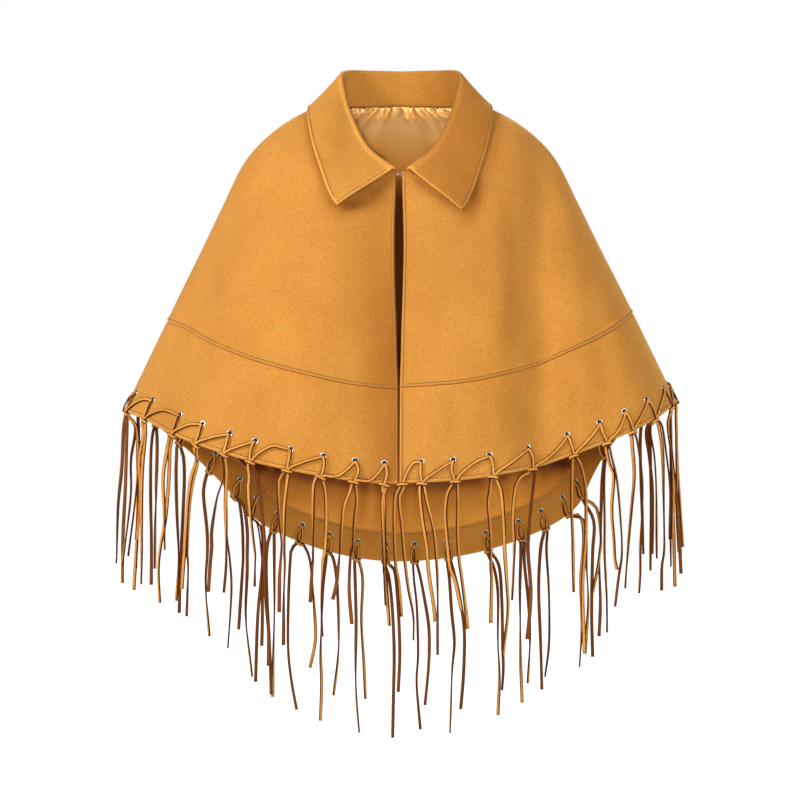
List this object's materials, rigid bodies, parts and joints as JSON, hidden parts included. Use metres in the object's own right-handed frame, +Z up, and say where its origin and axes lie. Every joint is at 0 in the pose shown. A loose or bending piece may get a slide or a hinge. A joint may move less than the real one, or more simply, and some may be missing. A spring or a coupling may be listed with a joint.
{
  "type": "fringe cape",
  "caption": "Short tan suede cape, open at the front, with a pointed collar, a seamed hem band, and a laced hem of metal eyelets carrying long suede fringe.",
  "frame": {"origin": "centre of the neck opening, level with the points where the neck meets the shoulders, where the wearer's shoulders hold the cape", "axes": "+Z up, the wearer faces -Y, +X is to the right as seen from the front"},
  "size_m": [0.7223, 0.4327, 0.8951],
  "materials": {
    "suede": "matt napped suede",
    "lining": "satin",
    "cord": "suede face with dark cut edges",
    "metal": "nickel plated"
  },
  "bodies": {
    "root": {"front_left": "suede", "front_right": "suede", "back": "suede", "band_front_left": "suede", "band_front_right": "suede", "band_back": "suede", "collar": "suede", "facing_back": "suede", "lining_back": "lining", "fringe_front_left": "cord", "fringe_front_right": "cord", "fringe_back": "cord", "hook": "metal", "eye": "metal", "eyelet_01": "metal", "eyelet_02": "metal", "eyelet_03": "metal", "eyelet_04": "metal", "eyelet_05": "metal", "eyelet_06": "metal", "eyelet_07": "metal", "eyelet_08": "metal", "eyelet_09": "metal", "eyelet_10": "metal", "eyelet_11": "metal", "eyelet_12": "metal", "eyelet_13": "metal", "eyelet_14": "metal", "eyelet_15": "metal", "eyelet_16": "metal", "eyelet_17": "metal", "eyelet_18": "metal", "eyelet_19": "metal", "eyelet_20": "metal", "eyelet_21": "metal", "eyelet_22": "metal", "eyelet_23": "metal", "eyelet_24": "metal", "eyelet_25": "metal", "eyelet_26": "metal", "eyelet_27": "metal", "eyelet_28": "metal", "eyelet_29": "metal", "eyelet_30": "metal", "eyelet_31": "metal", "eyelet_32": "metal", "eyelet_33": "metal", "eyelet_34": "metal", "eyelet_35": "metal", "eyelet_36": "metal", "eyelet_37": "metal", "eyelet_38": "metal", "eyelet_39": "metal", "eyelet_40": "metal", "eyelet_41": "metal", "eyelet_42": "metal", "eyelet_43": "metal"}
  },
  "joints": []
}
